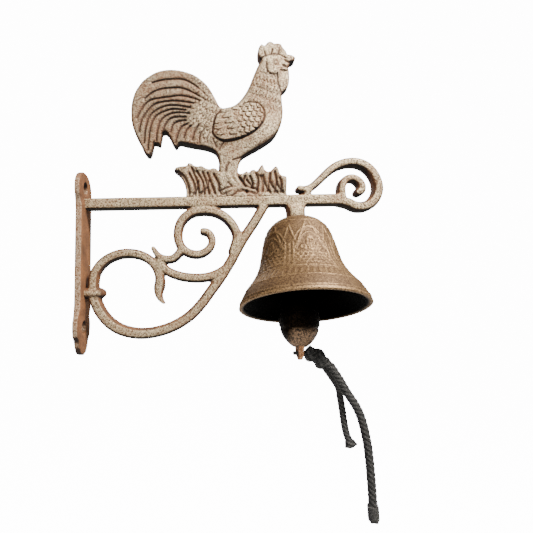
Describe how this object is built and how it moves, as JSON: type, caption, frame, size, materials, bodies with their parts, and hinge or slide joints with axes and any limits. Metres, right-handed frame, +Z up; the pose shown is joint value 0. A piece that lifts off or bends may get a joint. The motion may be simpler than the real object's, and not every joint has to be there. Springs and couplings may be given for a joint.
{
  "type": "wall mounted bell",
  "caption": "Cast iron wall bracket with a rooster and scrollwork that carries a bell, a swinging clapper and a short pull cord.",
  "frame": {"origin": "on the wall plate's back face, halfway between its two screw holes", "axes": "+X out from the wall along the arm, +Y towards the bracket's rear side, +Z up"},
  "size_m": [0.2523, 0.0948, 0.3952],
  "materials": {
    "cast_iron": "rough cast iron, rust brown with worn silver paint on its front",
    "bronze": "antique bronze, speckled",
    "dark_steel": "dark oiled steel",
    "copper": "coppery wash over iron",
    "rope": "charcoal twisted rope"
  },
  "bodies": {
    "bracket": {"wall_plate": "cast_iron", "arm": "cast_iron", "bell_boss": "cast_iron", "end_scroll": "cast_iron", "end_curl": "cast_iron", "brace": "cast_iron", "spiral_scroll": "cast_iron", "lower_branch": "cast_iron", "upper_arc": "cast_iron", "small_scroll": "cast_iron", "collar": "cast_iron", "rooster": "cast_iron", "grass_tuft": "cast_iron", "hanger_bolt": "dark_steel", "cone_washer": "dark_steel", "bell_nut": "dark_steel"},
    "bell": {"bell": "bronze"},
    "link": {"clapper_link": "dark_steel"},
    "clapper": {"clapper_shank": "dark_steel", "clapper_weight": "cast_iron", "cord_eye": "copper"},
    "cord": {"cord_loop": "rope", "cord_knot": "rope", "pull_cord": "rope", "cord_short_tail": "rope", "cord_end_knot": "rope"}
  },
  "joints": [
    {"name": "bell_tilt", "type": "hinge", "parent": "bracket", "child": "bell", "pos_m": [0.1775, 0, 0.023], "axis": [1, 0, 0], "range_deg": [0, 16]},
    {"name": "link_swing", "type": "hinge", "parent": "bracket", "child": "link", "pos_m": [0.1775, 0, 0.0022], "axis": [1, 0, 0], "range_deg": [-20, 1.5]},
    {"name": "clapper_swing", "type": "hinge", "parent": "link", "child": "clapper", "pos_m": [0.1775, 0, -0.007], "axis": [0, 1, 0], "range_deg": [-10, 10]},
    {"name": "cord_swing", "type": "hinge", "parent": "clapper", "child": "cord", "pos_m": [0.17504, 0, -0.08116], "axis": [1, 0, 0], "range_deg": [-40, 28]}
  ]
}
